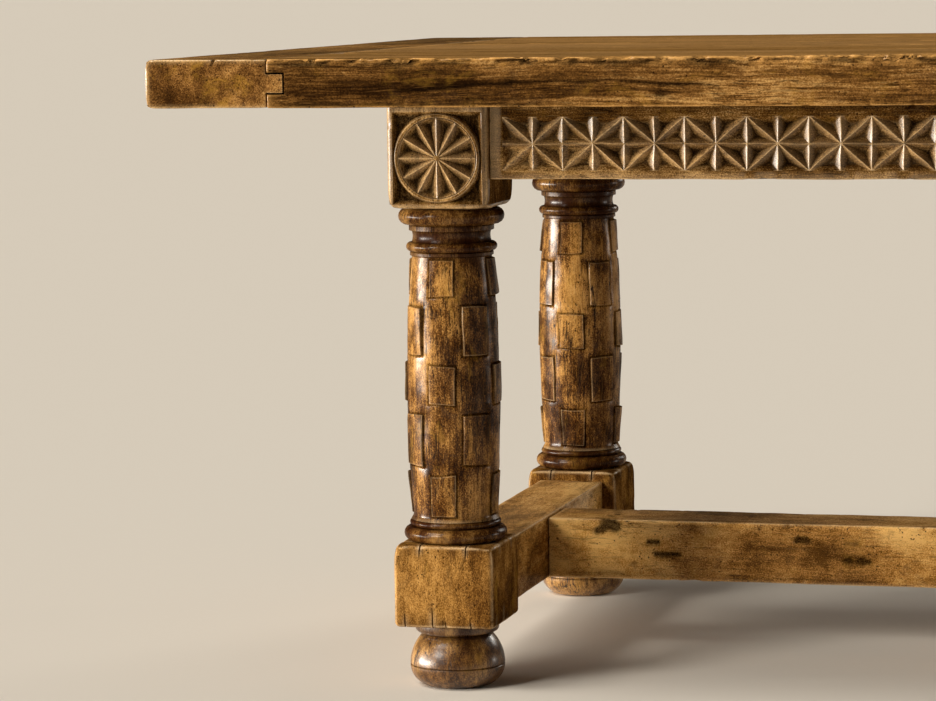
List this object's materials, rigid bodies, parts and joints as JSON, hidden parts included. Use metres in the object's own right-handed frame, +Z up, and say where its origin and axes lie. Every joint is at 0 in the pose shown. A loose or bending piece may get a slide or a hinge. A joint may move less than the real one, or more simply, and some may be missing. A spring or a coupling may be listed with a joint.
{
  "type": "refectory table",
  "caption": "Long carved wooden dining table: plank top with breadboard ends, chip-carved aprons, turned tiled legs on bun feet, and an H-shaped stretcher frame.",
  "frame": {"origin": "on the floor under the middle of the top", "axes": "+X along the table's length, -Y towards the front seen in the picture, +Z up"},
  "size_m": [3.048, 1.219, 0.762],
  "materials": {
    "top_wood": "waxed, distressed",
    "frame_wood": "waxed, distressed, dark glaze in the carving",
    "inner_wood": "bare, planed",
    "screw_steel": "plain steel"
  },
  "bodies": {
    "root": {"top_plank_1": "top_wood", "top_plank_2": "top_wood", "top_plank_3": "top_wood", "top_plank_4": "top_wood", "top_plank_5": "top_wood", "end_board_left": "top_wood", "end_board_right": "top_wood", "cap_block_front_left": "frame_wood", "leg_column_front_left": "frame_wood", "base_block_front_left": "frame_wood", "bun_foot_front_left": "frame_wood", "cap_block_front_right": "frame_wood", "leg_column_front_right": "frame_wood", "base_block_front_right": "frame_wood", "bun_foot_front_right": "frame_wood", "cap_block_back_right": "frame_wood", "leg_column_back_right": "frame_wood", "base_block_back_right": "frame_wood", "bun_foot_back_right": "frame_wood", "cap_block_back_left": "frame_wood", "leg_column_back_left": "frame_wood", "base_block_back_left": "frame_wood", "bun_foot_back_left": "frame_wood", "front_apron": "frame_wood", "back_apron": "frame_wood", "left_apron": "frame_wood", "right_apron": "frame_wood", "side_stretcher_left": "frame_wood", "side_stretcher_right": "frame_wood", "centre_stretcher": "frame_wood", "plank_splines": "inner_wood", "end_board_pegs": "inner_wood", "cross_rail_left": "inner_wood", "cross_rail_right": "inner_wood", "top_buttons": "inner_wood", "button_screws": "screw_steel"}
  },
  "joints": []
}
